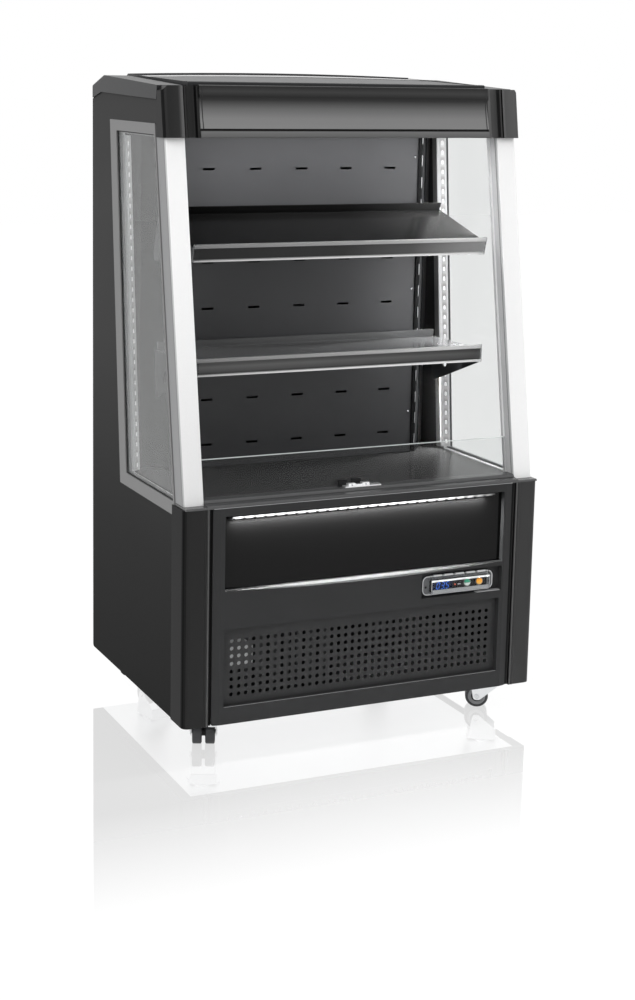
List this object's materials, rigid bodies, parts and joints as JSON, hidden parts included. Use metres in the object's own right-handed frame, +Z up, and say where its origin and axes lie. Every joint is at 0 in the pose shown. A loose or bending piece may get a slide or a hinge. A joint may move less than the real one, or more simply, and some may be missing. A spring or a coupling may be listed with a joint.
{
  "type": "open multideck display fridge",
  "caption": "Open-fronted multideck display fridge on castors, with glazed sides, tilting shelves, a perforated grille, a lit fascia recess and the refrigerating set in its base.",
  "frame": {"origin": "on the floor under the middle of the cabinet", "axes": "+X to the right seen from the front, +Y to the rear, +Z up"},
  "size_m": [0.81, 0.5686, 1.3753],
  "materials": {
    "charcoal_insulated": "satin charcoal skin over insulating foam",
    "black_moulding": "fine-grained black moulding",
    "gloss_black": "gloss black sheet",
    "dark_sheet": "dark grey powder-coated sheet",
    "satin_aluminium": "satin anodised",
    "grey_anodised": "grey anodised",
    "galvanised_steel": "zinc-plated",
    "clear_glass": "clear, polished",
    "clear_plastic": "clear, polished",
    "lamp_white": "frosted light cover",
    "black_steel": "black paint",
    "foam_liner": "white liner over foam",
    "fin_aluminium": "plain fins",
    "green_lens": "lit button",
    "orange_lens": "lit button",
    "grey_tread": "grey wheel with a light ring",
    "black_rubber": "soft bush"
  },
  "bodies": {
    "cabinet": {"side_panel_left": "charcoal_insulated", "side_panel_right": "charcoal_insulated", "corner_post_left": "black_moulding", "corner_post_right": "black_moulding", "pillar_left": "satin_aluminium", "pillar_right": "satin_aluminium", "window_frame_left": "grey_anodised", "window_frame_right": "grey_anodised", "window_glass_left": "clear_glass", "window_glass_right": "clear_glass", "led_strip_left": "lamp_white", "led_strip_right": "lamp_white", "header_cap_left": "black_moulding", "header_cap_right": "black_moulding", "shelf_upright_left": "dark_sheet", "shelf_upright_right": "dark_sheet", "header_fascia": "black_moulding", "roof_panel": "charcoal_insulated", "air_honeycomb": "black_moulding", "rear_panel": "charcoal_insulated", "rear_cover": "dark_sheet", "cord_gland": "black_rubber", "back_wall": "dark_sheet", "deck_tray": "dark_sheet", "insulated_tub": "foam_liner", "front_rail": "black_moulding", "front_glass": "clear_glass", "blind_catch": "satin_aluminium", "front_panel": "charcoal_insulated", "recess_panel": "gloss_black", "led_strip_front": "lamp_white", "grille": "black_moulding", "controller": "black_moulding", "controller_bezel": "satin_aluminium", "base_pan": "galvanised_steel", "condenser": "fin_aluminium", "condenser_shroud": "black_moulding", "compressor": "black_steel", "evaporator": "fin_aluminium"},
    "shelf_lower_set": {"shelf_lower": "dark_sheet", "bracket_lower_left": "dark_sheet", "bracket_lower_right": "dark_sheet", "price_rail_lower": "satin_aluminium"},
    "shelf_upper_set": {"shelf_upper": "dark_sheet", "bracket_upper_left": "dark_sheet", "bracket_upper_right": "dark_sheet", "price_rail_upper": "satin_aluminium"},
    "control_cover": {"controller_cover": "clear_plastic"},
    "green_button": {"button_green": "green_lens"},
    "orange_button": {"button_orange": "orange_lens"},
    "condenser_fan_wheel": {"condenser_fan": "black_moulding"},
    "evaporator_fan_wheel": {"evaporator_fan": "black_moulding"},
    "fork_front_left": {"castor_fork_front_left": "galvanised_steel"},
    "wheel_front_left": {"castor_wheel_front_left": "grey_tread"},
    "fork_front_right": {"castor_fork_front_right": "galvanised_steel"},
    "wheel_front_right": {"castor_wheel_front_right": "grey_tread"},
    "fork_rear_left": {"castor_fork_rear_left": "galvanised_steel"},
    "wheel_rear_left": {"castor_wheel_rear_left": "grey_tread"},
    "fork_rear_right": {"castor_fork_rear_right": "galvanised_steel"},
    "wheel_rear_right": {"castor_wheel_rear_right": "grey_tread"}
  },
  "joints": [
    {"name": "shelf_lower_tilt", "type": "hinge", "parent": "cabinet", "child": "shelf_lower_set", "pos_m": [0, 0.0626, 0.75], "axis": [1, 0, 0], "range_deg": [0, 16]},
    {"name": "shelf_upper_tilt", "type": "hinge", "parent": "cabinet", "child": "shelf_upper_set", "pos_m": [0, 0.0626, 1.041], "axis": [1, 0, 0], "range_deg": [-16, 0]},
    {"name": "cover_flip", "type": "hinge", "parent": "cabinet", "child": "control_cover", "pos_m": [0.224, -0.2759, 0.3345], "axis": [-1, 0, 0], "range_deg": [0, 90]},
    {"name": "green_press", "type": "slide", "parent": "cabinet", "child": "green_button", "axis": [0, 1, 0], "range_m": [0, 0.002], "stiffness_N_per_m": 600, "springref_m": -0.001},
    {"name": "orange_press", "type": "slide", "parent": "cabinet", "child": "orange_button", "axis": [0, 1, 0], "range_m": [0, 0.002], "stiffness_N_per_m": 600, "springref_m": -0.001},
    {"name": "condenser_fan_spin", "type": "hinge", "parent": "cabinet", "child": "condenser_fan_wheel", "pos_m": [-0.17, -0.166, 0.2], "axis": [0, 1, 0], "continuous": true},
    {"name": "evaporator_fan_spin", "type": "hinge", "parent": "cabinet", "child": "evaporator_fan_wheel", "pos_m": [0, 0.16, 0.86], "axis": [0, 0, 1], "continuous": true},
    {"name": "swivel_front_left", "type": "hinge", "parent": "cabinet", "child": "fork_front_left", "pos_m": [-0.3245, -0.197, 0.07], "axis": [0, 0, 1], "continuous": true},
    {"name": "roll_front_left", "type": "hinge", "parent": "fork_front_left", "child": "wheel_front_left", "pos_m": [-0.31851, -0.18216, 0.025], "axis": [0.9272, -0.3746, 0], "continuous": true},
    {"name": "swivel_front_right", "type": "hinge", "parent": "cabinet", "child": "fork_front_right", "pos_m": [0.349, -0.19, 0.07], "axis": [0, 0, 1], "continuous": true},
    {"name": "roll_front_right", "type": "hinge", "parent": "fork_front_right", "child": "wheel_front_right", "pos_m": [0.33514, -0.182, 0.025], "axis": [0.5, 0.866, 0], "continuous": true},
    {"name": "swivel_rear_left", "type": "hinge", "parent": "cabinet", "child": "fork_rear_left", "pos_m": [-0.285, 0.19, 0.07], "axis": [0, 0, 1], "continuous": true},
    {"name": "roll_rear_left", "type": "hinge", "parent": "fork_rear_left", "child": "wheel_rear_left", "pos_m": [-0.28833, 0.20565, 0.025], "axis": [0.9781, 0.2079, 0], "continuous": true},
    {"name": "swivel_rear_right", "type": "hinge", "parent": "cabinet", "child": "fork_rear_right", "pos_m": [0.285, 0.19, 0.07], "axis": [0, 0, 1], "continuous": true},
    {"name": "roll_rear_right", "type": "hinge", "parent": "fork_rear_right", "child": "wheel_rear_right", "pos_m": [0.28887, 0.20553, 0.025], "axis": [0.9703, -0.2419, 0], "continuous": true}
  ]
}
